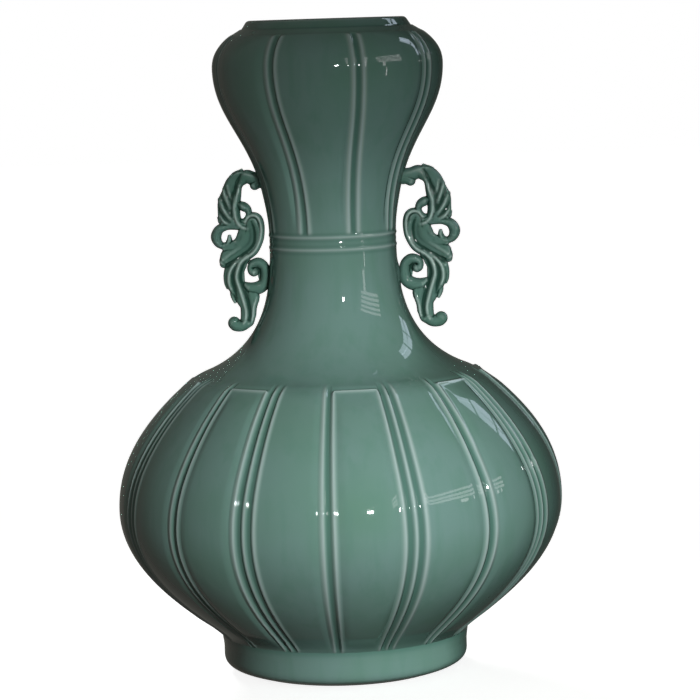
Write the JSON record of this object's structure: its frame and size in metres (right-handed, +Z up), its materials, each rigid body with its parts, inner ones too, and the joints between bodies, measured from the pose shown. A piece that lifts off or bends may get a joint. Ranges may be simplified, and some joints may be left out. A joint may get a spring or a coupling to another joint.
{
  "type": "porcelain vase",
  "caption": "Celadon garlic-mouth vase with a melon-ribbed globular belly, banded neck, lobed bulb mouth and pierced scroll handles.",
  "frame": {"origin": "centre of the foot where it rests", "axes": "+Z up through the mouth, -Y to the front, handles on +X and -X"},
  "size_m": [0.2594, 0.2594, 0.38],
  "materials": {
    "celadon_glaze": "gloss",
    "base_glaze": "gloss",
    "handle_glaze": "gloss"
  },
  "bodies": {
    "root": {"foot_ring": "celadon_glaze", "base_disc": "base_glaze", "lower_belly": "celadon_glaze", "upper_belly": "celadon_glaze", "shoulder": "celadon_glaze", "neck": "celadon_glaze", "neck_band": "celadon_glaze", "waist": "celadon_glaze", "lower_bulb": "celadon_glaze", "upper_bulb": "celadon_glaze", "lip_ring": "celadon_glaze", "handle_right": "handle_glaze", "upper_lute_right": "handle_glaze", "lower_lute_right": "handle_glaze", "handle_left": "handle_glaze", "upper_lute_left": "handle_glaze", "lower_lute_left": "handle_glaze"}
  },
  "joints": []
}
